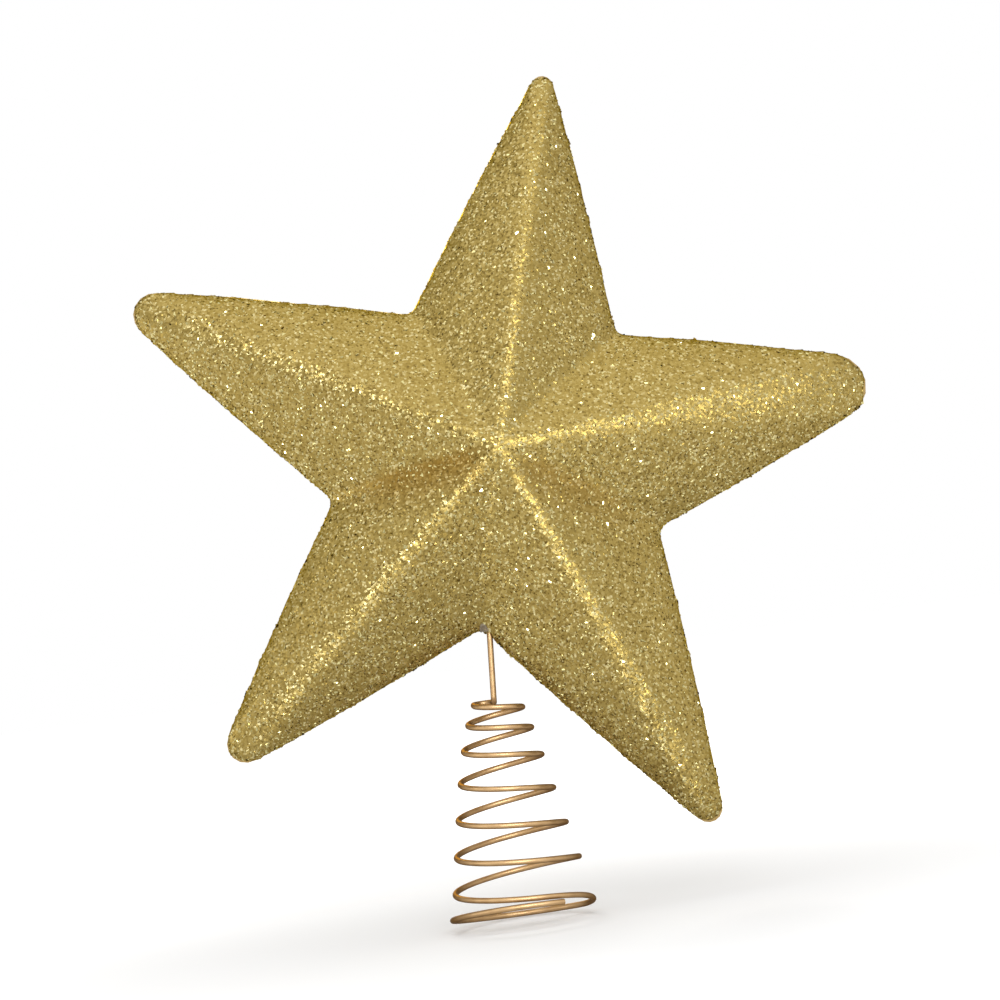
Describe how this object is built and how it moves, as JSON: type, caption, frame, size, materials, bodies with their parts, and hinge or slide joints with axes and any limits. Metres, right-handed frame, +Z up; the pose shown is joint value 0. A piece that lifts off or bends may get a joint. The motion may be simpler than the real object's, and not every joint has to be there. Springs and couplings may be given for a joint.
{
  "type": "tree topper star",
  "caption": "Hollow glittered star, puffed and pointed, on a bare wire stem that is coiled below into an open cone spring which slips over the top shoot of a tree.",
  "frame": {"origin": "centre of the spring's lowest turn, on the spring's axis, where the tree's top shoot comes in", "axes": "+Z up the spring's axis; the star faces -Y; +X to the right as seen from the front"},
  "size_m": [0.2162, 0.0561, 0.2522],
  "materials": {
    "wire": "copper-gold coated steel wire, satin",
    "shell": "moulded plastic in a gold colour",
    "glitter": "champagne-gold glitter flakes set in clear varnish",
    "glue": "clear hot-melt glue, slightly cloudy"
  },
  "bodies": {
    "seat": {"seat_turns": "wire", "lower_coils": "wire"},
    "spring_mid": {"middle_coils": "wire"},
    "spring_top": {"upper_coils": "wire"},
    "star": {"wire_stem": "wire", "front_shell": "shell", "rear_shell": "shell", "glitter_coat": "glitter", "hot_melt_glue": "glue"}
  },
  "joints": [
    {"name": "spring_bob", "type": "slide", "parent": "seat", "child": "spring_mid", "axis": [0, 0, 1], "range_m": [-0.006, 0.005], "stiffness_N_per_m": 1800, "springref_m": 0.00037, "deforming": ["lower_coils"]},
    {"name": "star_nod", "type": "hinge", "parent": "spring_mid", "child": "spring_top", "pos_m": [0, 0, 0.0467], "axis": [1, 0, 0], "range_deg": [-8, 12], "stiffness_Nm_per_rad": 0.84, "springref_deg": 0.38, "deforming": ["middle_coils"]},
    {"name": "star_sway", "type": "hinge", "parent": "spring_top", "child": "star", "pos_m": [0, 0, 0.0578], "axis": [0, 1, 0], "range_deg": [-14, 10], "stiffness_Nm_per_rad": 1.16, "springref_deg": -0.36, "deforming": ["upper_coils"]}
  ]
}
